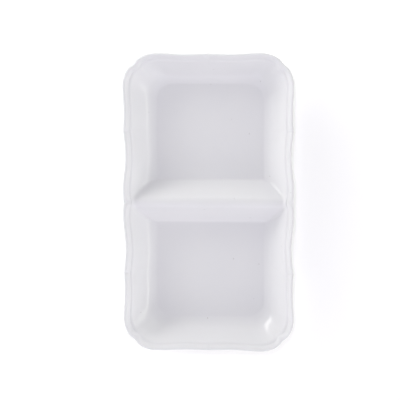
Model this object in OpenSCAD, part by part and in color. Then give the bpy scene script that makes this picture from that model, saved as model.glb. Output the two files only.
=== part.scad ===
// Divided serving dish: one stoneware body with two square wells, a rounded divider
// between them, a rolled lip with a bracket-shaped edge, and two low foot rings.
// Millimetres, +Z up, +Y to the rear. The origin is on the table, under the middle.

/* [Overall] */
// Length over the rim, front to rear
dish_length = 356; // [310:1:420]
// Width over the rim, side to side
dish_width = 204; // [180:1:250]
// Height from the table to the top of the lip
dish_height = 38; // [34:0.5:46]
// Thickness of the walls and floors
wall = 4; // [3.5:0.25:5]

/* [Wells] */
// Slope of the walls and of the divider's sides, from the horizontal
wall_slope = 48; // [44:1:54]
// Radius of the curve from a wall into its floor
floor_fillet = 24; // [16:1:30]
// Corner radius of the flat floors, in plan
floor_corner = 18; // [8:0.5:24]

/* [Rim] */
// Corner radius of the rim's edge, in plan
rim_corner = 40; // [34:1:50]
// Height of the rolled lip above its crease
lip_height = 5; // [4:0.25:7]
// How far the lip stands out past the wall below it
lip_overhang = 1.5; // [1:0.25:3]
// How far the wall flares out just below the lip
flare = 3; // [2:0.25:5]
// Depth of the hollows in the edge beside the divider's ends
side_wave = 2.9; // [1:0.1:4]
// Depth of the hollows in the edge beside the corners
corner_wave = 1.4; // [0.5:0.1:3]
// How far the points between hollows stay behind the swells
point_setback = 0.6; // [0:0.1:1.5]
// Depth of the pinches in the edge at the divider's ends
side_pinch = 0.5; // [0:0.1:1.5]
// Depth of the pinches in the edge at the corners
corner_pinch = 1.6; // [0:0.1:2.5]
// Depth of both kinds of pinch at the lip's crease
crease_pinch = 2.4; // [0:0.1:3]
// Length of a pinch along the rim
pinch_width = 6.5; // [4:0.5:9]
// Depth of the pleats across the lip, at each pinch and each point
pleat_depth = 0.9; // [0:0.1:1.5]
// Length of a pleat along the rim
pleat_width = 2.5; // [1.5:0.25:4]

/* [Divider] */
// Radius of the divider's crest
crest_radius = 9; // [7:0.5:14]
// Radius of the curve from the divider into the floors
divider_fillet = 6; // [4:0.5:14]
// How far the crest and the walls' shoulders lie below the lip's crease
crest_drop = 1.5; // [1:0.25:4]
// Thickness of clay left under the crest, over the hollow below
crown = 6; // [5:0.25:10]
// Distance from the floors' sides to the ends of that hollow
hollow_end = 6; // [4:0.5:15]

/* [Feet] */
// Height of the foot rings
foot_height = 3.5; // [2:0.25:5]
// Width of a foot ring
foot_width = 5; // [3:0.25:8]
// Distance from a floor's edges to its foot ring
foot_setback = 3; // [2:0.5:10]
// Corner radius of a foot ring's outside, in plan
foot_corner = 14; // [10:0.5:20]

/* [Hidden] */

// Steps of the curves: along a lobe of the rim, up a wall's fillet, round a quarter of the lip
lobe_steps = 12;
fillet_steps = 5;
lip_steps = 4;
$fn = 64;

// Where a lobe's hollow lies and where its swell begins, from its point to its pinch:
// beside the divider's ends, and beside the corners
side_lobe_shares = [0.35, 0.82];
corner_lobe_shares = [0.28, 0.65];
// The lip's top line and its outermost line, as shares of its width and of its height
lip_top_share = 0.22;
lip_nose_share = 0.55;
// How the lip falls from its top to its crease: 1 is a flat slope, and 2 a round bead
lip_roundness = 1.5;

// Levels
floor_top = foot_height + wall;
crease_top = dish_height - lip_height;
crest_top = crease_top - crest_drop;

// Plan sizes; an inset is measured inwards from the rim's edge
half_w = dish_width / 2;
half_l = dish_length / 2;
wall_across = wall / sin(wall_slope);
crease_inset = lip_overhang + wall_across;
shoulder_inset = crease_inset + flare;
fillet_rise = floor_fillet * (1 - cos(wall_slope));
fillet_run = floor_fillet * sin(wall_slope);
floor_inset = shoulder_inset + fillet_run + (crest_top - floor_top - fillet_rise) / tan(wall_slope);
floor_half_w = half_w - floor_inset;
floor_half_l = half_l - floor_inset;

// A quarter of the rim's edge, measured along it from the divider's end to the middle of an end
side_run = half_l - rim_corner;
corner_run = rim_corner * PI / 2;
end_run = half_w - rim_corner;
quarter_run = side_run + corner_run + end_run;
pinch_at = side_run + corner_run / 2;
point_at = pinch_at / 2;

// The divider's outline: where its straight side leaves the crest and meets the fillet
side_top = [crest_radius * sin(wall_slope), crest_top - crest_radius * (1 - cos(wall_slope))];
divider_rise = divider_fillet * (1 - cos(wall_slope));
side_foot = [side_top.x + (side_top.y - floor_top - divider_rise) / tan(wall_slope),
    floor_top + divider_rise];
divider_half = side_foot.x + divider_fillet * sin(wall_slope);

// The rim's wavy edge

// 1 at a place, dying away smoothly over a width
function bump(distance, width) = exp(-pow(distance / width, 2));

// Place within a lobe of the edge: 0 at its point, 1 at its pinch
function lobe_share(s) =
    s < point_at ? (point_at - s) / point_at
    : s < pinch_at ? (s - point_at) / (pinch_at - point_at)
    : (quarter_run - s) / (quarter_run - pinch_at);

// Distances along the edge to the nearest pinch and to the nearest point
function pinch_gap(s) = min(s, abs(s - pinch_at));
function point_gap(s) = min(abs(s - point_at), quarter_run - s);

// A lobe falls from its point to the hollow, and rises in a long curve to its swell
function lobe_offset(share, depth, shares) =
    share < shares[0] ? -point_setback - (depth - point_setback) * sin(90 * share / shares[0])
    : share < shares[1]
        ? -depth * (1 + cos(180 * (share - shares[0]) / (shares[1] - shares[0]))) / 2
    : 0;

// How far the edge stands in from the plain outline; pinches deepen towards the crease
function edge_offset(s, inset) =
    let (
        beside_divider = s < point_at,
        depth = beside_divider ? side_wave : corner_wave,
        shares = beside_divider ? side_lobe_shares : corner_lobe_shares,
        edge_pinch = beside_divider ? side_pinch : corner_pinch,
        pinch = edge_pinch + (crease_pinch - edge_pinch) * inset / crease_inset)
    lobe_offset(lobe_share(s), depth, shares) - pinch * bump(pinch_gap(s), pinch_width);

// How far a pleat lowers the lip
function pleat(s) = pleat_depth * bump(min(pinch_gap(s), point_gap(s)), pleat_width);

// Rings of points round the dish

// Corners are concentric with the rim's, down to the floors' own radius
function corner_radius(inset) = max(rim_corner - inset, floor_corner);

// A point of the plain outline at an inset, moved square to it by an offset
function quarter_point(s, inset, offset) =
    let (r = corner_radius(inset), x = half_w - inset, y = half_l - inset)
    s < side_run ? [x + offset, (y - r) * s / side_run]
    : s < side_run + corner_run
        ? let (a = 90 * (s - side_run) / corner_run) [x - r, y - r] + (r + offset) * [cos(a), sin(a)]
    : [(x - r) * (quarter_run - s) / end_run, y + offset];

// Places along one lobe, closer together at its ends
function lobe_places(from, to) =
    [for (k = [0 : lobe_steps - 1]) from + (to - from) * (1 - cos(180 * k / lobe_steps)) / 2];

side_places = concat(lobe_places(0, point_at), lobe_places(point_at, pinch_at), [pinch_at]);
end_places = concat(lobe_places(pinch_at, quarter_run), [quarter_run]);

function all_but_last(list) = [for (i = [0 : len(list) - 2]) list[i]];
function backwards(list) = [for (i = [len(list) - 1 : -1 : 0]) list[i]];

// Stations are [sign of x, sign of y, place along the quarter]: the right side and then the rear
// end, each from corner to corner, and all round, where the other half is these turned half round
right_stations = concat(
    [for (s = all_but_last(backwards(side_places))) [1, -1, s]],
    [for (s = side_places) [1, 1, s]]);
rear_stations = concat(
    [for (s = end_places) [1, 1, s]],
    [for (s = backwards(all_but_last(end_places))) [-1, 1, s]]);
all_stations = [for (turn = [1, -1], at = concat(all_but_last(right_stations), all_but_last(rear_stations)))
    [turn * at.x, turn * at.y, at.z]];

// A level ring with straight sides
function plain_ring(stations, inset, z) =
    [for (at = stations) let (p = quarter_point(at.z, inset, 0)) [at.x * p.x, at.y * p.y, z]];

// A ring that follows the wavy edge; rise is its height above the crease
function wavy_ring(stations, inset, rise) =
    [for (at = stations)
        let (p = quarter_point(at.z, inset, edge_offset(at.z, inset)))
        [at.x * p.x, at.y * p.y, crease_top + rise - pleat(at.z) * rise / lip_height]];

// Solid through rings: each ring joins the next, and the last joins the first.
// A closed loft runs all the way round, and an open one has a cap at each end.
module loft(rings, closed) {
    rows = len(rings);
    count = len(rings[0]);
    function at(i, k) = (i % rows) * count + k % count;
    skin = [for (i = [0 : rows - 1], k = [0 : count - (closed ? 1 : 2)], half = [0, 1])
        half == 0 ? [at(i, k), at(i, k + 1), at(i + 1, k + 1)]
        : [at(i, k), at(i + 1, k + 1), at(i + 1, k)]];
    caps = closed ? [] : [[for (i = [0 : rows - 1]) at(i, 0)],
        [for (i = [rows - 1 : -1 : 0]) at(i, count - 1)]];
    polyhedron([for (ring = rings, p = ring) p], concat(skin, caps));
}

// Sections of the wall, as [inset, height] pairs

// The inside, from the floor's edge up to the shoulder below the flare
inside_line = concat(
    [for (k = [0 : fillet_steps]) let (a = wall_slope * k / fillet_steps)
        [floor_inset - floor_fillet * sin(a), floor_top + floor_fillet * (1 - cos(a))]],
    [[shoulder_inset, crest_top]]);

// The outside, from the shoulder down to the floor's edge, a wall's thickness away
outside_line = concat(
    [[shoulder_inset - wall_across, crest_top]],
    [for (k = [fillet_steps : -1 : 0])
        let (a = wall_slope * k / fillet_steps, r = floor_fillet + wall)
        [floor_inset - r * sin(a), floor_top + floor_fillet - r * cos(a)]]);

// The lip, from its crease over the top to its nose and under, as [inset, rise] pairs
lip_top_inset = lip_top_share * crease_inset;
lip_nose = lip_nose_share * lip_height;
lip_line = concat(
    [for (k = [lip_steps : -1 : 1]) let (share = k / lip_steps)
        [lip_top_inset + (crease_inset - lip_top_inset) * share,
            lip_height * (1 - pow(share, lip_roundness))]],
    [for (k = [0 : lip_steps - 1]) let (a = 90 * k / lip_steps)
        [lip_top_inset * (1 - sin(a)), lip_nose + (lip_height - lip_nose) * cos(a)]],
    [for (k = [0 : lip_steps]) let (a = 90 * k / lip_steps)
        [lip_overhang * (1 - cos(a)), lip_nose * (1 - sin(a))]]);

// Sub-parts

// The rolled lip, standing on the tops of the walls
module rim() color("white")
    loft([for (p = lip_line) wavy_ring(all_stations, p.x, p.y)], closed = true);

// A wall that flares and curves into its floor, along its stations from corner to corner
module wall_along(stations)
    loft(concat(
        [for (p = inside_line) plain_ring(stations, p.x, p.y)],
        [wavy_ring(stations, crease_inset, 0), wavy_ring(stations, lip_overhang, 0)],
        [for (p = outside_line) plain_ring(stations, p.x, p.y)]), closed = false);

// The long wall on the right, beside both wells, and the short wall at the rear
module right_wall() color("white") wall_along(right_stations);
module rear_wall() color("white") wall_along(rear_stations);

// The flat floor of the rear well, from the divider's foot to the wall's
module rear_floor() color("white")
    translate([0, 0, foot_height])
        linear_extrude(wall)
            intersection() {
                polygon([for (p = plain_ring(all_stations, floor_inset, 0)) [p.x, p.y]]);
                translate([-half_w, divider_half])
                    square([dish_width, half_l]);
            }

// Extrusions of a section: across the dish, with it drawn in Y and Z, and along it, in X and Z
module across(run) rotate([90, 0, 90]) linear_extrude(run, center = true) children();
module along(run) rotate([90, 0, 0]) linear_extrude(run, center = true) children();

// A line of [side, height] points and its mirror image, as one outline
module mirrored(line)
    polygon(concat(line, [for (i = [len(line) - 1 : -1 : 0]) [-line[i].x, line[i].y]]));

// The divider's outline in Y and Z
module divider_outline() difference() {
    union() {
        mirrored([[divider_half, foot_height], [divider_half, floor_top], side_foot, side_top]);
        translate([0, crest_top - crest_radius])
            circle(crest_radius);
    }
    for (side = [-1, 1])
        translate([side * divider_half, floor_top + divider_fillet])
            circle(divider_fillet);
}

// The room between the side walls, in X and Z
module between_walls()
    mirrored(concat([[floor_half_w, foot_height]], [for (p = inside_line) [half_w - p.x, p.y]]));

// The hollow's outline: sides at the walls' slope, from the underside of the floors to its roof
module hollow_outline(half_roof, roof)
    mirrored([[half_roof + (roof - foot_height) / tan(wall_slope), foot_height], [half_roof, roof]]);

// The divider: a ridge from wall to wall, hollow underneath
module divider() color("white") {
    roof = crest_top - crown;
    roof_half_y = side_top.x - wall_across + (side_top.y - roof) / tan(wall_slope);
    roof_half_x = floor_half_w - hollow_end - (roof - foot_height) / tan(wall_slope);
    difference() {
        intersection() {
            across(dish_width) divider_outline();
            along(2 * divider_half) between_walls();
        }
        intersection() {
            across(dish_width) hollow_outline(roof_half_y, roof);
            along(2 * divider_half) hollow_outline(roof_half_x, roof);
        }
    }
}

// One of a foot ring's two outlines, at an inset from its outside, with round corners
module foot_outline(inset) {
    setback = foot_setback + inset;
    half_x = floor_half_w - setback;
    near = divider_half + setback;
    far = floor_half_l - setback;
    corner = foot_corner - inset;
    translate([-half_x, near + corner])
        square([2 * half_x, far - near - 2 * corner]);
    translate([corner - half_x, near])
        square([2 * (half_x - corner), far - near]);
    for (x = [-1, 1] * (half_x - corner), y = [near + corner, far - corner])
        translate([x, y])
            circle(corner);
}

// The unglazed ring that the rear well stands on
module rear_foot_ring() color("linen")
    linear_extrude(foot_height)
        difference() {
            foot_outline(0);
            foot_outline(foot_width);
        }

// The dish is the same turned half round
module turned() rotate([0, 0, 180]) children();
module left_wall() color("white") turned() right_wall();
module front_wall() color("white") turned() rear_wall();
module front_floor() color("white") turned() rear_floor();
module front_foot_ring() color("linen") turned() rear_foot_ring();

rim();
left_wall();
right_wall();
rear_wall();
front_wall();
rear_floor();
front_floor();
divider();
rear_foot_ring();
front_foot_ring();
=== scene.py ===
# %% [markdown]
# # A divided serving dish in white glaze
# The real dish is one piece of fired stoneware: two square wells with a rounded divider between
# them, walls that flare out to a rolled lip with a bracket-shaped edge, and two bare foot rings.
# A measured model of it is packed as a frame of plain solids. This lesson loads that frame and
# dresses it in smooth meshes and a glaze, in the same place and at the same size, in metres.

# %% Load the measured frame
import math

import bpy
import numpy as np
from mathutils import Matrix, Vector


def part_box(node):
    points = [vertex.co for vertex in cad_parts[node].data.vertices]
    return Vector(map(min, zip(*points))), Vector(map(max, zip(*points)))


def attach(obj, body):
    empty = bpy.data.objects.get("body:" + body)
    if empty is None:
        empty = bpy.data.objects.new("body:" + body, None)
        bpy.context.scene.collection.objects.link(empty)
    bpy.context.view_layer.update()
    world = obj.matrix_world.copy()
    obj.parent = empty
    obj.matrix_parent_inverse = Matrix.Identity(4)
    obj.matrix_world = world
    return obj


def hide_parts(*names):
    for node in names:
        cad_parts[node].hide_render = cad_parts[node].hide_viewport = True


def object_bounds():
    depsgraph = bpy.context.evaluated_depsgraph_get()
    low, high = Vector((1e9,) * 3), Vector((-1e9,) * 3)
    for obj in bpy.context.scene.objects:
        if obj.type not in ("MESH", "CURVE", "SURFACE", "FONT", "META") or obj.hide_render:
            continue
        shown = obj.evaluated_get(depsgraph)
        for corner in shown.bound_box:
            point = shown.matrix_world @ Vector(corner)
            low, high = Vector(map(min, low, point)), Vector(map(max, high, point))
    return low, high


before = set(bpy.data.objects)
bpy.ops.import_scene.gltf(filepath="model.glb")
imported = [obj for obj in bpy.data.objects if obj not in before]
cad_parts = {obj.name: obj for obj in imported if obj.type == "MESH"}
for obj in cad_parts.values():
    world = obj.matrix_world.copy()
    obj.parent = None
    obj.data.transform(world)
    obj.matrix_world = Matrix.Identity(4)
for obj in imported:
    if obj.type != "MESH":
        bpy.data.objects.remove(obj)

cad_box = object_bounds()
MM = 0.001


def in_mm(values):
    return [round(float(value) / MM, 2) for value in values]


print("measured nodes:", ", ".join(sorted(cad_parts)))
print("measured box in mm:", in_mm(cad_box[0]), "to", in_mm(cad_box[1]))

# %% [markdown]
# ## Sizes
# A potter's drawing of this dish needs a few levels and half widths. They could be typed in again
# here, but then they could drift from the measured model, so they are read from its own solids.
# Only the shapes within a solid, such as a slope or a radius, are written down.

# %% Levels and half widths, from the frame
half_w, half_l, top_level = cad_box[1]
crease_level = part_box("rim")[0].z
crest_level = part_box("divider")[1].z
divider_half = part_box("divider")[1].y
floor_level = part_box("rear_floor")[1].z
under_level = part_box("rear_floor")[0].z
floor_inset = half_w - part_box("rear_floor")[1].x
wall = floor_level - under_level
lip_height = top_level - crease_level
print("floor, crest, crease and top levels in mm:",
      in_mm([floor_level, crest_level, crease_level, top_level]))

# %% How far in from the edge the crease between lip and wall lies
wall_slope = math.radians(48)
lip_overhang = 1.5 * MM
wall_across = wall / math.sin(wall_slope)
crease_inset = lip_overhang + wall_across
print("the wall's level width and the crease's inset in mm:", in_mm([wall_across, crease_inset]))

# %% [markdown]
# ## The bracket-shaped edge
# Seen from above, the rim is a long rectangle whose sides swell and draw in like the brackets in
# a line of print. Each side has three kinds of mark: soft points between the hollows, pinches at
# the corners, and pinches where the divider meets the rim. The edge could be drawn by hand as a
# curve, but a formula is the better tool here: the dish has four alike quarters, so one rule for
# one quarter, measured along its edge, gives the whole rim at any fineness.

# %% One quarter of the edge, from the divider's end to the middle of a short end
rim_corner = 40 * MM
side_run = half_l - rim_corner
corner_run = rim_corner * math.pi / 2
end_run = half_w - rim_corner
quarter_run = side_run + corner_run + end_run
pinch_at = side_run + corner_run / 2
point_at = pinch_at / 2


def pinch_gap(s):
    """How far a place along the quarter lies from the nearest pinch."""
    return np.minimum(s, np.abs(s - pinch_at))


def point_gap(s):
    """How far it lies from the nearest point."""
    return np.minimum(np.abs(s - point_at), quarter_run - s)


print("quarter, point and corner pinch along it in mm:", in_mm([quarter_run, point_at, pinch_at]))

# %% How far the edge draws in at each place
side_wave = 2.9 * MM
corner_wave = 1.4 * MM
point_setback = 0.6 * MM
side_lobe_shares = (0.35, 0.82)
corner_lobe_shares = (0.28, 0.65)


def lobe_offset(share, depth, shares):
    """A lobe falls from its point to a hollow, and rises in a long curve to its swell."""
    hollow, swell = shares
    fall = -point_setback - (depth - point_setback) * np.sin(math.pi / 2 * share / hollow)
    rise = -depth * (1 + np.cos(math.pi * (share - hollow) / (swell - hollow))) / 2
    return np.select([share < hollow, share < swell], [fall, rise], 0)


def edge_wave(s):
    share = np.select(
        [s < point_at, s < pinch_at],
        [(point_at - s) / point_at, (s - point_at) / (pinch_at - point_at)],
        (quarter_run - s) / (quarter_run - pinch_at))
    return np.where(s < point_at, lobe_offset(share, side_wave, side_lobe_shares),
                    lobe_offset(share, corner_wave, corner_lobe_shares))


print("deepest hollow in mm:", in_mm([-edge_wave(np.arange(0, quarter_run, MM)).min()]))

# %% The pinches, which are deepest at the crease and fade down the wall
side_pinch = 0.5 * MM
corner_pinch = 1.6 * MM
side_crease_pinch = 2.4 * MM
corner_crease_pinch = 3.2 * MM
pinch_width = 6.5 * MM
pinch_fade = 6 * MM


def die_away(distance, width):
    """1 at a mark, dying away smoothly over a width."""
    return np.exp(-(distance / width) ** 2)


def edge_pinch(s, inset):
    beside_divider = s < point_at
    at_edge = np.where(beside_divider, side_pinch, corner_pinch)
    at_crease = np.where(beside_divider, side_crease_pinch, corner_crease_pinch)
    on_lip = at_edge + (at_crease - at_edge) * min(inset / crease_inset, 1)
    below = math.exp(-max(inset - crease_inset, 0) / pinch_fade)
    return on_lip * below * die_away(pinch_gap(s), pinch_width)


print("a corner's pinch at the edge and at the crease in mm:",
      in_mm([edge_pinch(pinch_at, 0), edge_pinch(pinch_at, crease_inset)]))

# %% Wave and pinches together, for a ring at any inset from the edge
def wall_share(inset):
    """0 at the crease and outside it, and 1 at the floor."""
    return min(max((inset - crease_inset) / (floor_inset - crease_inset), 0), 1)


def edge_offset(s, inset):
    """How far a ring stands out from the plain outline. Its wave dies out at the floor."""
    return (1 - wall_share(inset)) * edge_wave(s) - edge_pinch(s, inset)


print("offset at a point, at the edge and at the floor, in mm:",
      in_mm([edge_offset(point_at, 0), edge_offset(point_at, floor_inset)]))

# %% [markdown]
# ## Stations round the dish
# The mesh is a set of rings, one inside the other, and every ring has its points at the same
# stations. An even spacing would waste points on the long plain stretches and blunt the pleats,
# so the step is small near each mark and over the divider, and wide elsewhere. The stations start
# at the front right corner and run round past the rear, counter-clockwise from above.

# %% Places along a quarter, closer together where the shape turns fast
fine_step = 0.9 * MM
wide_step = 2.2 * MM
fine_reach = 7 * MM
trial_places = 4001


def step_at(s):
    near_mark = np.minimum(pinch_gap(s), point_gap(s)) < fine_reach
    return np.where(near_mark | (s < divider_half), fine_step, wide_step)


def spaced(start, end):
    """Places from start to end whose steps follow step_at."""
    places = np.linspace(start, end, trial_places)
    steps = np.diff(places) / step_at((places[1:] + places[:-1]) / 2)
    count_up_to = np.concatenate([[0], np.cumsum(steps)])
    total = count_up_to[-1]
    return np.interp(np.linspace(0, total, math.ceil(total) + 1), count_up_to, places)


side_places = spaced(0, pinch_at)
end_places = spaced(pinch_at, quarter_run)
print("places along half a side and half an end:", len(side_places), "and", len(end_places))

# %% Stations as signs of x and y, and a place along the quarter
def station_rows(sign_x, sign_y, places):
    return [(sign_x, sign_y, s) for s in places]


half_round = np.array(
    station_rows(1, -1, side_places[:0:-1]) + station_rows(1, 1, side_places[:-1])
    + station_rows(1, 1, end_places[:-1]) + station_rows(-1, 1, end_places[:0:-1]))
stations = np.concatenate([half_round, half_round * (-1, -1, 1)])
sign_x, sign_y, along = stations.T
station_count = len(stations)
side_steps = 2 * len(side_places) - 2
end_steps = 2 * len(end_places) - 2
print(station_count, "stations:", side_steps, "along each side and", end_steps, "along each end")

# %% The corners of a ring: concentric on the lip, then evenly tighter down to the floor
floor_corner = 18 * MM
crease_corner = rim_corner - crease_inset


def corner_radius(inset):
    if inset < crease_inset:
        return rim_corner - inset
    return crease_corner - (crease_corner - floor_corner) * wall_share(inset)


print("corner radius at the crease and at the floor in mm:",
      in_mm([corner_radius(crease_inset), corner_radius(floor_inset)]))

# %% The plan of one ring
level_run = 60 * MM


def ring_plan(inset, offset):
    """X and Y of a ring. Near the divider all rings share their Y, so that its crest is straight."""
    radius = corner_radius(inset)
    x, y = half_w - inset, half_l - inset
    stretch = (y - radius - level_run) / (side_run - level_run)
    side_y = np.where(along < level_run, along, level_run + (along - level_run) * stretch)
    turn = math.pi / 2 * np.clip((along - side_run) / corner_run, 0, 1)
    corner_x = x - radius + (radius + offset) * np.cos(turn)
    corner_y = y - radius + (radius + offset) * np.sin(turn)
    end_x = (x - radius) * (quarter_run - along) / end_run
    where = [along < side_run, along < side_run + corner_run]
    plan_x = np.select(where, [x + offset, corner_x], end_x)
    plan_y = np.select(where, [side_y, corner_y], y + offset)
    return np.stack([sign_x * plan_x, sign_y * plan_y], axis=1)


print("the rim across and along in mm:",
      in_mm(np.ptp(ring_plan(0, edge_offset(along, 0)), axis=0)))

# %% [markdown]
# ## The section through a wall
# Cut the dish across and the wall shows one line: up from the floor in a wide curve, up the
# slope, over a rolled shoulder to the crease, over the lip's bead, under its nose, and down the
# outside. On clay every corner of that line is softened by the glaze. So the line is drawn first
# with plain arcs and then smoothed by a small radius, which a bevel on the finished mesh could
# not do as evenly. Points are pairs of inset from the rim's edge and height.

# %% The wide curves between the floor and the wall, inside and outside
floor_fillet = 24 * MM
floor_kink = math.radians(10)
floor_rim = 3 * MM
wall_bend = math.radians(3.5)
fillet_steps = 24


def sweep(start, end, steps):
    """Even values from start to end, as a column."""
    return np.linspace(start, end, steps + 1)[:, None]


def on_arc(centre, radii, angles):
    """Points round a centre, by their angles from straight up."""
    return np.array(centre) + np.array(radii) * np.hstack([np.sin(angles), np.cos(angles)])


floor_rise = floor_fillet * (1 - math.cos(floor_kink))
fillet_centre = (floor_inset, floor_level + floor_fillet)
outer_fillet = floor_fillet + wall
inside_fillet = on_arc(fillet_centre, (-floor_fillet, -floor_fillet),
                       sweep(floor_kink, wall_slope - wall_bend, fillet_steps))
floor_edge = np.array([[inside_fillet[0, 0] + floor_rim, floor_level + floor_rise]])
outside_fillet = on_arc(fillet_centre, (-outer_fillet, -outer_fillet),
                        sweep(wall_slope, 0, fillet_steps))
print("the curve starts above the floor by, in mm:", in_mm([floor_rise]))

# %% The rolled shoulder between the wall and the crease
shoulder_radius = 5.5 * MM
crease_tilt = math.radians(12)
shoulder_steps = 12

steepest = wall_slope + wall_bend
roll_in = shoulder_radius * (math.sin(steepest) - math.sin(crease_tilt))
roll_down = shoulder_radius * (math.cos(crease_tilt) - math.cos(steepest))
room = inside_fillet[-1] - (crease_inset, crease_level)
spare = room[0] - roll_in + (room[1] + roll_down) / math.tan(wall_slope)
ledge = spare / (1 - math.tan(crease_tilt) / math.tan(wall_slope))
shoulder_top = np.array([crease_inset + ledge, crease_level - ledge * math.tan(crease_tilt)])
square_to_ledge = np.array([math.sin(crease_tilt), math.cos(crease_tilt)])
shoulder = on_arc(shoulder_top - shoulder_radius * square_to_ledge,
                  (shoulder_radius, shoulder_radius), sweep(steepest, crease_tilt, shoulder_steps))
print("the ledge inside the crease is, in mm:", in_mm([ledge]))

# %% The wall between them, which is hollowed a little like a bowl's
wall_steps = 24
wall_foot, wall_head = inside_fillet[-1], shoulder[0]
up_share = sweep(0, 1, wall_steps)[1:-1]
wall_hollow = math.hypot(*(wall_head - wall_foot)) / 2 * math.tan(wall_bend / 2)
into_clay = np.array([-math.sin(wall_slope), -math.cos(wall_slope)])
inside_wall = (wall_foot + (wall_head - wall_foot) * up_share
               + into_clay * wall_hollow * 4 * up_share * (1 - up_share))
print("the wall is hollowed by, in mm:", in_mm([wall_hollow]))

# %% The lip's bead, its nose and the outside
lip_top_share = 0.22
nose_share = 0.55
lip_roundness = 1.5
bead_steps = 16

lip_top_inset = lip_top_share * crease_inset
nose_rise = nose_share * lip_height
nose_level = crease_level + nose_rise
quarter_turn = sweep(0, math.pi / 2, bead_steps)
lip_share = sweep(1, 0, bead_steps)
bead_inside = np.hstack([lip_top_inset + (crease_inset - lip_top_inset) * lip_share,
                         crease_level + lip_height * (1 - lip_share ** lip_roundness)])
bead_outside = on_arc((lip_top_inset, nose_level), (-lip_top_inset, lip_height - nose_rise),
                      quarter_turn)
lip_under = on_arc((lip_overhang, nose_level), (-lip_overhang, -nose_rise), quarter_turn[::-1])
outside_shoulder = shoulder[:1] - (wall_across, 0)

section = np.concatenate([floor_edge, inside_fillet, inside_wall, shoulder, bead_inside,
                          bead_outside[1:], lip_under[1:], outside_shoulder, outside_fillet])
print("points in the plain section:", len(section))

# %% Softening the section as the glaze does
glaze_softness = 0.35 * MM
steps_per_radius = 8
reach_steps = 3 * steps_per_radius


def run_along(line):
    return np.concatenate([[0], np.cumsum(np.hypot(*np.diff(line, axis=0).T))])


def at_places(places, run, line):
    """The line's points at some places, where run says how far along each of its own points is."""
    return np.stack([np.interp(places, run, line[:, k]) for k in (0, 1)], axis=1)


def softened(line, radius):
    """The line in fine even steps, each point averaged with its neighbours within a radius."""
    run = run_along(line)
    fine = at_places(np.linspace(0, run[-1], int(run[-1] / radius * steps_per_radius)), run, line)
    reach = np.arange(-reach_steps, reach_steps + 1) / steps_per_radius
    weights = np.exp(-reach ** 2 / 2)
    padded = np.pad(fine, ((reach_steps, reach_steps), (0, 0)), mode="reflect", reflect_type="odd")
    smooth = [np.convolve(padded[:, k], weights / weights.sum(), mode="valid") for k in (0, 1)]
    return np.stack(smooth, axis=1)


soft_section = softened(section, glaze_softness)
print("points in the softened section:", len(soft_section))

# %% Choosing the rings, closer together on the lip and at the floor's edge
fine_ring_step = 0.6 * MM
wide_ring_step = 1.8 * MM

soft_run = run_along(soft_section)
fine_zone = (soft_section[:, 1] > crest_level) | (soft_run < 2 * floor_rim)
steps_along = np.diff(soft_run) / np.where(fine_zone[1:], fine_ring_step, wide_ring_step)
rings_up_to = np.concatenate([[0], np.cumsum(steps_along)])
wanted = np.linspace(0, rings_up_to[-1], math.ceil(rings_up_to[-1]) + 1)
ring_section = at_places(wanted, rings_up_to, soft_section)
print(len(ring_section), "rings up the inside, over the lip and down the outside")

# %% Where the lip begins and ends among the rings
def nearest_ring(inset, height):
    return int(np.argmin(np.hypot(*(ring_section - (inset, height)).T)))


crease_ring = nearest_ring(crease_inset, crease_level)
under_lip_ring = nearest_ring(lip_overhang, crease_level)
print("the lip is rings", crease_ring, "to", under_lip_ring)

# %% [markdown]
# ## The divider
# The divider is a rounded ridge that curves into both floors and both side walls. It could be a
# second solid joined by a boolean, but that leaves a hard seam. Clay has none: it is worked with
# a finger. So the inside of the dish is one height at each place, the larger of the wall's height
# and the ridge's, with a small fillet wherever the two come close.

# %% The larger of two heights, with a fillet between them
least_reach = 1e-9


def smooth_max(a, b, reach):
    """The larger of two values, rounded off where they come within reach of each other."""
    near = np.maximum(reach - np.abs(a - b), 0)
    return np.maximum(a, b) + near ** 2 / (4 * np.maximum(reach, least_reach))


print("two equal heights with a reach of 4 are lifted by", smooth_max(0, 0, 4))

# %% Height of the ridge above the floors
crest_radius = 9 * MM
divider_fillet = 6 * MM

crest_rise = crest_level - floor_level
side_top_y = crest_radius * math.sin(wall_slope)
side_top_rise = crest_rise - crest_radius * (1 - math.cos(wall_slope))


def ridge_rise(y):
    y = np.abs(y)
    crest = crest_rise - crest_radius + np.sqrt(np.maximum(crest_radius ** 2 - y ** 2, 0))
    side = side_top_rise - (y - side_top_y) * math.tan(wall_slope)
    foot_y = np.clip(divider_half - y, 0, divider_fillet * math.sin(wall_slope))
    foot = divider_fillet - np.sqrt(divider_fillet ** 2 - foot_y ** 2)
    return np.where(y < side_top_y, crest, np.maximum(side, foot))


print("the ridge rises above the floor by, in mm:", in_mm([ridge_rise(0)]))

# %% The inside as one height
mitre_reach = 4.5 * MM
mitre_start = 9 * MM
edge_softness = 0.2 * MM


def inside_height(wall_height, y):
    """The fillet between wall and ridge grows with height, so that both run out on the floor."""
    wall_rise, rise = wall_height - floor_level, ridge_rise(y)
    share = np.clip(np.minimum(wall_rise, rise) / mitre_start, 0, 1)
    reach = mitre_reach * share * share * (3 - 2 * share)
    joined = smooth_max(wall_rise, rise, reach)
    return floor_level + smooth_max(joined, floor_rise, edge_softness)


print("crest of the divider in mm:", in_mm([inside_height(floor_level, 0)]))

# %% [markdown]
# ## The pleats across the lip
# At each pinch and each point a short pleat crosses the bead, so every lobe of the lip ends in a
# rounded pillow. A dark painted line would look right only from above. A real dip in the bead's
# height catches light and shade from every side.

# %% How far a pleat lowers the bead
pleat_depth = 1.3 * MM
pleat_width = 2.0 * MM
corner_pleat_depth = 0.9 * MM
corner_pleat_width = 4.2 * MM
pillow_depth = 0.5 * MM
pillow_width = 9 * MM


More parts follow.
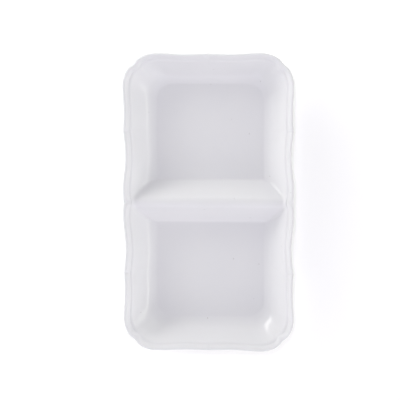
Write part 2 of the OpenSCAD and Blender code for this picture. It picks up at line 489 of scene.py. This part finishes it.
def pleat(s):
    """Crisp at the points and beside the divider, and broad and soft at the corners."""
    crisp = pleat_depth * die_away(np.minimum(s, point_gap(s)), pleat_width)
    soft = corner_pleat_depth * die_away(s - pinch_at, corner_pleat_width)
    pillow = pillow_depth * die_away(np.minimum(pinch_gap(s), point_gap(s)), pillow_width)
    return crisp + soft + pillow


def lip_level(height, s):
    rise = (height - crease_level) / lip_height
    return height - np.clip(rise, 0, 1) * pleat(s)


print("pleats at a point and at a corner in mm:", in_mm([pleat(point_at), pleat(pinch_at)]))

# %% [markdown]
# ## Rings into meshes
# Each ring now has a plan and a height at every station. Neighbouring rings are joined by strips
# of four-sided faces. The flat middle of the floor can't be a ring, so a grid fills it: its rows
# and columns start from the stations of the innermost ring, which keeps every face four-sided.

# %% All the rings, from the floor's edge to the underside
def ring_points(k):
    inset, height = ring_section[k]
    depth_inset = inset if k <= under_lip_ring else inset + wall_across
    plan = ring_plan(inset, edge_offset(along, depth_inset))
    level = np.full(station_count, height)
    if k < crease_ring:
        level = inside_height(level, plan[:, 1])
    elif k <= under_lip_ring:
        level = lip_level(level, along)
    return np.column_stack([plan, level])


rings = np.array([ring_points(k) for k in range(len(ring_section))])
print("points in the rings:", rings.shape[0] * rings.shape[1])

# %% A grid that fills a ring
def grid_plan(ring):
    """X and Y of a grid whose edges are the ring's four sides, each point blended from all four."""
    corners = np.cumsum([0, side_steps, end_steps, side_steps])
    closed = np.concatenate([ring, ring[:1]])[:, :2]
    right = closed[corners[0]:corners[1] + 1]
    rear = closed[corners[1]:corners[2] + 1][::-1]
    left = closed[corners[2]:corners[3] + 1][::-1]
    front = closed[corners[3]:]
    up = ((right[:, 1] - right[0, 1]) / (right[-1, 1] - right[0, 1]))[:, None, None]
    over = ((front[:, 0] - front[0, 0]) / (front[-1, 0] - front[0, 0]))[None, :, None]
    sides = (1 - over) * left[:, None] + over * right[:, None]
    ends = (1 - up) * front[None] + up * rear[None]
    corner_mix = ((1 - up) * ((1 - over) * left[0] + over * right[0])
                  + up * ((1 - over) * left[-1] + over * right[-1]))
    return sides + ends - corner_mix


print("a grid has", side_steps + 1, "by", end_steps + 1, "points")

# %% Numbers of a grid's points: its edge is the ring's own, and the rest are new
inside_count = (side_steps - 1) * (end_steps - 1)


def grid_numbers(first_of_ring, first_inside):
    numbers = np.zeros((side_steps + 1, end_steps + 1), int)
    new = first_inside + np.arange(inside_count)
    numbers[1:-1, 1:-1] = new.reshape(side_steps - 1, end_steps - 1)
    numbers[:, -1] = first_of_ring + np.arange(side_steps + 1)
    numbers[-1, ::-1] = first_of_ring + side_steps + np.arange(end_steps + 1)
    numbers[::-1, 0] = first_of_ring + side_steps + end_steps + np.arange(side_steps + 1)
    last_side = 2 * side_steps + end_steps + np.arange(end_steps + 1)
    numbers[0] = first_of_ring + last_side % station_count
    return numbers


print("new points in a grid:", inside_count)

# %% Faces of the strips and of the grids
def strip_faces(first, second):
    """Faces between two rings, given the numbers of their first points."""
    here = np.arange(station_count)
    after = np.roll(here, -1)
    return np.stack([first + here, second + here, second + after, first + after], axis=1)


def grid_faces(numbers):
    corners = [numbers[:-1, :-1], numbers[:-1, 1:], numbers[1:, 1:], numbers[1:, :-1]]
    return np.stack(corners, axis=2).reshape(-1, 4)


print("faces in a strip:", len(strip_faces(0, station_count)), "and in a grid:",
      len(grid_faces(grid_numbers(0, station_count))))

# %% Points and faces into a piece that rides on the dish
def as_piece(name, points, faces):
    mesh = bpy.data.meshes.new(name)
    mesh.from_pydata(points.tolist(), [], faces.tolist())
    mesh.shade_smooth()
    piece = bpy.data.objects.new(name, mesh)
    bpy.context.scene.collection.objects.link(piece)
    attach(piece, "root")
    print(name, "has", len(mesh.polygons), "faces")
    return piece


# %% [markdown]
# ## The hollow underneath
# A divider of solid clay would crack in the kiln, so the real one is hollow: a trough opens under
# it between the two foot rings. It is a height again, the least of two sloping sides, two sloping
# ends and a flat roof, with soft corners as a plaster mould leaves them.

# %% Height of the hollow above the underside
crown = 6 * MM
hollow_end = 6 * MM
hollow_softness = 5 * MM

hollow_roof = crest_level - crown - under_level
hollow_half_x = half_w - floor_inset - hollow_end
hollow_half_y = side_top_y - wall_across + (side_top_rise + wall) / math.tan(wall_slope)


def hollow_rise(x, y):
    slope = math.tan(wall_slope)
    sides = (hollow_half_y - np.abs(y)) * slope
    ends = (hollow_half_x - np.abs(x)) * slope
    low = -smooth_max(-np.minimum(sides, hollow_roof), -ends, hollow_softness)
    return smooth_max(low, np.zeros_like(low), hollow_softness)


print("half the hollow's mouth in mm:", in_mm([hollow_half_x, hollow_half_y]))

# %% [markdown]
# ## The shell and the lip
# On the real dish the wells and the lip are the same clay. Here they are two closed skins, so that
# the lip can be picked out by itself. One mesh would be simpler, but its crease would be rounded
# away by smooth shading. With two, the lip simply stands in the crease of the shell.

# %% The floor and the underside as grids
shell_rings = np.concatenate([rings[:crease_ring + 1], rings[under_lip_ring:]])
top_plan = grid_plan(shell_rings[0])
under_plan = grid_plan(shell_rings[-1])
top_wall = np.full(top_plan.shape[:2], floor_level + floor_rise)
top_grid = np.dstack([top_plan, inside_height(top_wall, top_plan[..., 1])])
under_grid = np.dstack([under_plan, under_level + hollow_rise(*np.moveaxis(under_plan, 2, 0))])
print("lowest and highest of the inside's middle in mm:",
      in_mm([top_grid[..., 2].min(), top_grid[..., 2].max()]))

# %% The shell of the two wells, as one closed skin
ring_total = len(shell_rings) * station_count
top_numbers = grid_numbers(0, ring_total)
under_numbers = grid_numbers(ring_total - station_count, ring_total + inside_count)
shell_points = np.concatenate([
    shell_rings.reshape(-1, 3),
    top_grid[1:-1, 1:-1].reshape(-1, 3),
    under_grid[1:-1, 1:-1].reshape(-1, 3)])
shell_faces = np.concatenate(
    [strip_faces(k * station_count, (k + 1) * station_count) for k in range(len(shell_rings) - 1)]
    + [grid_faces(top_numbers), grid_faces(under_numbers)[:, ::-1]])
shell = as_piece("well_shell", shell_points, shell_faces)
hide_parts("left_wall", "right_wall", "rear_wall", "front_wall",
            "rear_floor", "front_floor", "divider")

# %% The rolled lip, as a closed ring that stands in the crease
lip_rings = rings[crease_ring:under_lip_ring + 1]
lip_faces = np.concatenate([
    strip_faces(k * station_count, (k + 1) % len(lip_rings) * station_count)
    for k in range(len(lip_rings))])
lip = as_piece("rolled_lip", lip_rings.reshape(-1, 3), lip_faces)
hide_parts("rim")


# %% Keeping the hidden joint between them out of the shading
def sharpen_rings(piece, ring_numbers):
    """Marks the edges along these rings as sharp, so the hidden faces behind them shade nothing."""
    ends = np.empty(2 * len(piece.data.edges), np.int32)
    piece.data.edges.foreach_get("vertices", ends)
    ring_of = ends.reshape(-1, 2) // station_count
    along_ring = (ring_of[:, 0] == ring_of[:, 1]) & np.isin(ring_of[:, 0], ring_numbers)
    for number in np.flatnonzero(along_ring):
        piece.data.edges[number].use_edge_sharp = True
    print(piece.name, "has", int(along_ring.sum()), "sharp edges")


sharpen_rings(shell, [crease_ring, crease_ring + 1])
sharpen_rings(lip, [0, len(lip_rings) - 1])

# %% [markdown]
# ## The foot rings
# The glaze would fuse the dish to the kiln shelf, so two low rings underneath are wiped bare
# before firing. Each is a small rounded bar bent round a rectangle. A curve with a bevel could
# make it, but a swept section keeps its foot flat on the table.

# %% The section of the bar
foot_width = 5 * MM
foot_round = 1.1 * MM
foot_sink = 0.4 * MM
round_steps = 6


def bar_section(height):
    """Pairs of distance in from the ring's outside, and height: down, under the foot and up."""
    round_under = on_arc((foot_round, foot_round), (-foot_round, -foot_round),
                         sweep(math.pi / 2, 0, round_steps))
    near_side = np.concatenate([[[0, height + foot_sink]], round_under])
    far_side = (near_side * (-1, 1) + (foot_width, 0))[::-1]
    return np.concatenate([near_side, far_side])


print("points round the bar:", len(bar_section(foot_width)))

# %% The rectangle with round corners that it follows
foot_corner = 14 * MM
corner_steps = 14


def foot_path(low, high, inset):
    radius = foot_corner - inset
    turns = np.linspace(0, math.pi / 2, corner_steps + 1)
    places = []
    for quarter in range(4):
        side_x = 1 if quarter in (0, 3) else -1
        side_y = 1 if quarter in (0, 1) else -1
        centre_x = (high.x if side_x > 0 else low.x) - side_x * foot_corner
        centre_y = (high.y if side_y > 0 else low.y) - side_y * foot_corner
        for turn in turns + quarter * math.pi / 2:
            places.append((centre_x + radius * math.cos(turn), centre_y + radius * math.sin(turn)))
    return np.array(places)


# %% Both foot rings
def foot_ring(name, node):
    low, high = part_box(node)
    bars = []
    for inset, height in bar_section(high.z - low.z):
        path = foot_path(low, high, inset)
        bars.append(np.column_stack([path, np.full(len(path), low.z + height)]))
    size = len(bars[0])
    here = np.arange(size)
    after = np.roll(here, -1)
    faces = []
    for k in range(len(bars)):
        first, second = k * size, (k + 1) % len(bars) * size
        faces.append(np.stack([second + here, second + after, first + after, first + here], axis=1))
    ring = as_piece(name, np.concatenate(bars), np.concatenate(faces))
    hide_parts(node)
    return ring


foot_rings = [foot_ring("rear_foot", "rear_foot_ring"), foot_ring("front_foot", "front_foot_ring")]

# %% [markdown]
# ## Writing shaders as sums
# A glaze is a recipe: so much white, a little less where it runs thin, a few specks of iron. A
# recipe reads best as arithmetic, so one small class wraps a node's socket and lets Python's own
# signs add the Math nodes. Any other node comes from its one method, add.

# %% A wire: a socket that can be added, multiplied and mixed
class Wire:
    def __init__(self, tree, socket=None):
        self.tree = tree
        self.socket = socket

    def add(self, kind, settings=None, inputs=None, output=0):
        """A new node with its settings made first, then its inputs set or linked."""
        made = self.tree.nodes.new(kind)
        for name, value in (settings or {}).items():
            setattr(made, name, value)
        for name, value in (inputs or {}).items():
            if isinstance(value, Wire):
                self.tree.links.new(value.socket, made.inputs[name])
            else:
                made.inputs[name].default_value = value
        return Wire(self.tree, made.outputs[output] if made.outputs else None)

    def other(self, output):
        """Another output of the same node."""
        return Wire(self.tree, self.socket.node.outputs[output])

    def math(self, operation, *values):
        return self.add("ShaderNodeMath", {"operation": operation}, dict(enumerate(values)))

    def mix(self, share, first, second):
        """A colour between two colours."""
        inputs = {0: share, 6: first, 7: second}
        return self.add("ShaderNodeMix", {"data_type": "RGBA"}, inputs, output=2)

    def __add__(self, other):
        return self.math("ADD", self, other)

    def __sub__(self, other):
        return self.math("SUBTRACT", self, other)

    def __rsub__(self, other):
        return self.math("SUBTRACT", other, self)

    def __mul__(self, other):
        return self.math("MULTIPLY", self, other)

    def __lt__(self, other):
        return self.math("LESS_THAN", self, other)

    __radd__ = __add__
    __rmul__ = __mul__


print("signs that a wire knows: + - * <")

# %% An empty material, and a first wire to build it with
def new_material(name):
    material = bpy.data.materials.new(name)
    material.use_nodes = True
    material.node_tree.nodes.clear()
    print("started the material", name)
    return material, Wire(material.node_tree)


# %% [markdown]
# ## White glaze
# The glaze is a thin coat of glass over pale clay. It is almost white, and what makes it glaze and
# not paint is small: faint clouds where the coat is thicker, a slow ripple left by the brush and
# the melt, and a few pinhead specks of iron. The ripple is a bump, because it is far finer than
# the mesh, and it has to stay weak or the long reflections break up.

# %% The glaze
GLAZE_WHITE = (0.83, 0.83, 0.84, 1)
GLAZE_THICK = (0.80, 0.805, 0.825, 1)
IRON_SPECK = (0.25, 0.22, 0.2, 1)
cloud_size = 45 * MM
speck_spacing = 17 * MM
speck_radius = 0.45 * MM
speck_strength = 0.7
ripple_size = 22 * MM
ripple_depth = 0.4 * MM
ripple_strength = 0.12
glaze_dullness = 0.09
cloud_dullness = 0.05


def glaze():
    material, wire = new_material("white_glaze")
    place = wire.add("ShaderNodeTexCoord", output="Object")
    clouds = wire.add("ShaderNodeTexNoise", {}, {
        "Vector": place, "Scale": 1 / cloud_size, "Detail": 3})
    colour = wire.mix(clouds, GLAZE_WHITE, GLAZE_THICK)

    cells = wire.add("ShaderNodeTexVoronoi", {}, {
        "Vector": place, "Scale": 1 / speck_spacing}, "Distance")
    speck = cells < speck_radius / speck_spacing
    colour = wire.mix(speck * speck_strength, colour, IRON_SPECK)

    ripple = wire.add("ShaderNodeTexNoise", {}, {
        "Vector": place, "Scale": 1 / ripple_size, "Detail": 1})
    slope = wire.add("ShaderNodeBump", {}, {
        "Height": ripple, "Strength": ripple_strength, "Distance": ripple_depth})
    skin = wire.add("ShaderNodeBsdfPrincipled", {}, {
        "Base Color": colour, "Roughness": glaze_dullness + clouds * cloud_dullness,
        "IOR": 1.5, "Normal": slope})
    wire.add("ShaderNodeOutputMaterial", {}, {"Surface": skin})
    return material


white_glaze = glaze()
for piece in (shell, lip):
    piece.data.materials.append(white_glaze)
print("the glaze has", len(white_glaze.node_tree.nodes), "nodes")

# %% [markdown]
# ## Bare clay
# Where the glaze was wiped off, the fired clay shows: warm, dull and a little sandy, with darker
# grains. The grains could be modelled, but they are finer than a mesh should be. So the sand is a
# fine bump, and the grains are a sharp-edged noise.

# %% The bare clay of the foot rings
CLAY_PALE = (0.72, 0.66, 0.57, 1)
CLAY_DARK = (0.5, 0.43, 0.35, 1)
tone_size = 14 * MM
tone_share = 0.5
grain_size = 0.9 * MM
grain_cut = 0.38
grain_share = 0.35
sand_depth = 0.15 * MM
sand_strength = 0.5
clay_dullness = 0.8
grain_dullness = 0.15


def bare_clay():
    material, wire = new_material("bare_clay")
    place = wire.add("ShaderNodeTexCoord", output="Object")
    tone = wire.add("ShaderNodeTexNoise", {}, {
        "Vector": place, "Scale": 1 / tone_size, "Detail": 3})
    grain = wire.add("ShaderNodeTexNoise", {}, {
        "Vector": place, "Scale": 1 / grain_size, "Detail": 2})
    darkness = tone * tone_share + (grain < grain_cut) * grain_share
    sand = wire.add("ShaderNodeBump", {}, {
        "Height": grain, "Strength": sand_strength, "Distance": sand_depth})
    skin = wire.add("ShaderNodeBsdfPrincipled", {}, {
        "Base Color": wire.mix(darkness, CLAY_PALE, CLAY_DARK),
        "Roughness": clay_dullness + grain * grain_dullness, "Normal": sand})
    wire.add("ShaderNodeOutputMaterial", {}, {"Surface": skin})
    return material


clay = bare_clay()
for ring in foot_rings:
    ring.data.materials.append(clay)
print("the clay has", len(clay.node_tree.nodes), "nodes")

# %% [markdown]
# ## The white table
# A white dish on white needs its edges from shade, not from colour. So it stands on a matt white
# table. By lamplight alone the table would come out pale grey, and more light would bleach the
# dish. So the table adds a little glow of its own, but only to what the camera or a reflection
# sees: it then reads as white, lights nothing, and keeps the shadow that the dish casts.

# %% The table
TABLE_WHITE = (0.9, 0.9, 0.9, 1)
table_glow = 0.28
table_half = 4


def seen_directly(wire):
    """1 for what the camera, a reflection or a clear glass sees, and 0 for light on its way."""
    camera_ray = wire.add("ShaderNodeLightPath", output="Is Camera Ray")
    in_mirror = camera_ray.other("Is Glossy Ray")
    in_glass = camera_ray.other("Is Transmission Ray")
    return wire.math("MAXIMUM", camera_ray, wire.math("MAXIMUM", in_mirror, in_glass))


def table_material():
    material, wire = new_material("white_table")
    matt = wire.add("ShaderNodeBsdfDiffuse", {}, {"Color": TABLE_WHITE})
    glow = wire.add("ShaderNodeEmission", {}, {"Strength": table_glow})
    glowing = wire.add("ShaderNodeAddShader", {}, {0: matt, 1: glow})
    shown = wire.add("ShaderNodeMixShader", {}, {0: seen_directly(wire), 1: matt, 2: glowing})
    wire.add("ShaderNodeOutputMaterial", {}, {"Surface": shown})
    return material


bpy.ops.mesh.primitive_plane_add(size=2 * table_half)
table = bpy.context.object
table.name = "table"
table.data.materials.append(table_material())
print("the table is", 2 * table_half, "m wide")

# %% [markdown]
# ## The tent
# A photographer hangs white cloth on both sides of a glossy dish, so that the walls of its wells
# catch more light than their floors. Two huge lamps could stand for the cloth, but they have
# edges. The sky round the scene has none, so it does the work: it is brightest straight to the
# right and to the left, and dark overhead. The camera and the reflections see plain white there.

# %% A tent of white cloth, bright on its right and left
CREAM = (1, 1, 0.97, 1)
WHITE = (1, 1, 1, 1)
tent_right, tent_left = 1.75, 1.5

scene = bpy.context.scene
scene.view_settings.view_transform = "Standard"
scene.world = bpy.data.worlds.new("studio")
scene.world.use_nodes = True
scene.world.node_tree.nodes.clear()
sky = Wire(scene.world.node_tree)
direction = sky.add("ShaderNodeTexCoord", output="Generated")
towards_x = sky.add("ShaderNodeSeparateXYZ", {}, {0: direction}, "X")


def cloth(facing, brightness):
    """One side of the tent: full where a ray meets it squarely, and none behind."""
    ahead = sky.math("MAXIMUM", facing, 0)
    side = sky.add("ShaderNodeBackground", {}, {"Color": CREAM, "Strength": brightness})
    return sky.add("ShaderNodeMixShader", {}, {0: ahead * ahead, 2: side})


tent = sky.add("ShaderNodeAddShader", {}, {
    0: cloth(towards_x, tent_right), 1: cloth(0 - towards_x, tent_left)})
white = sky.add("ShaderNodeBackground", {}, {"Color": WHITE, "Strength": 1})
shown = sky.add("ShaderNodeMixShader", {}, {0: seen_directly(sky), 1: tent, 2: white})
sky.add("ShaderNodeOutputWorld", {}, {"Surface": shown})
print("the tent has", len(scene.world.node_tree.nodes), "nodes")

# %% [markdown]
# ## The lamps
# Cloth alone gives no sparkle. The key lamp, behind the dish on the left, draws the crescent in
# the front right corner, and the strip on the right lights the left wall's sheen. Two broad panels
# tint the slopes that face them. The fills only lift slopes and floors. They are hidden from
# reflections, where they would draw lines that the real glaze doesn't show. The small one overhead
# also throws a short shadow at the front.

# %% A flat lamp, placed by compass bearing and height
lamp_distance = 1.4


def lamp(name, bearing, height, width, tall, brightness, colour):
    """A lamp that faces the dish. Bearing 0 is the rear and 90 the right, in degrees; a brightness
    of 1 shows as white."""
    turn, rise = math.radians(bearing), math.radians(height)
    data = bpy.data.lights.new(name, "AREA")
    data.shape = "RECTANGLE"
    data.size, data.size_y = width, tall
    data.energy = brightness * math.pi * width * tall
    data.color = colour
    made = bpy.data.objects.new(name, data)
    flat = lamp_distance * math.cos(rise)
    made.location = (flat * math.sin(turn), flat * math.cos(turn), lamp_distance * math.sin(rise))
    made.rotation_euler = (math.pi / 2 - rise, 0, math.pi - turn)
    scene.collection.objects.link(made)
    print(name, "gives", round(data.energy, 2), "W")
    return made


# %% Lamps that show in the glaze, and fills that don't
IVORY = (1, 1, 0.95)
PEARL = (1, 0.98, 0.97)
WARM = (0.97, 1, 0.85)
LAVENDER = (0.87, 0.83, 1)

lamp("rear_left_key", 302, 19, 0.75, 0.22, 5.2, IVORY)
lamp("right_strip", 92, 14.5, 0.9, 0.27, 1.85, WARM)
lamp("front_panel", 182, 40, 1.5, 2.0, 0.53, LAVENDER)
lamp("rear_right_panel", 45, 28, 1.3, 0.85, 0.3, WARM)
fills = [lamp("rear_left_fill", 325, 15, 0.8, 0.5, 5.3, IVORY),
         lamp("front_fill", 180, 20, 1.2, 0.5, 2.65, PEARL),
         lamp("overhead", 16, 78, 0.14, 0.14, 64.5, LAVENDER)]
for fill in fills:
    fill.visible_glossy = False

# %% [markdown]
# ## The camera
# The dish is seen from above by a photographer who stands a little to the rear and to the right
# of it, so the left and front walls look wider than the other two. The rim still looks almost
# true, which tells of a long lens from well above. A camera that looked straight down with a
# shifted lens would give the same walls, but the dish would then sit off the middle in any other
# view. So the camera stands far off and is turned towards the dish.

# %% A camera above the dish
picture_width = 400
dish_centre_px = (208.2, 203.3)
m_per_px = 1.187 * MM
sensor_width = 36
camera_distance = 2.5
lean_right = math.radians(5)
lean_rear = math.radians(6)
camera_roll = math.radians(0.15)

camera = bpy.data.objects.new("camera", bpy.data.cameras.new("camera"))
camera.data.sensor_width = sensor_width
camera.data.lens = sensor_width * camera_distance / (picture_width * m_per_px)
camera.data.shift_x = 0.5 - dish_centre_px[0] / picture_width
camera.data.shift_y = dish_centre_px[1] / picture_width - 0.5
camera.rotation_euler = (-lean_rear, lean_right, -camera_roll)
rim_middle = Vector((0, 0, top_level))
back = camera.rotation_euler.to_matrix() @ Vector((0, 0, camera_distance))
camera.location = rim_middle + back
scene.collection.objects.link(camera)
scene.camera = camera
print("lens:", round(camera.data.lens, 1), "mm")
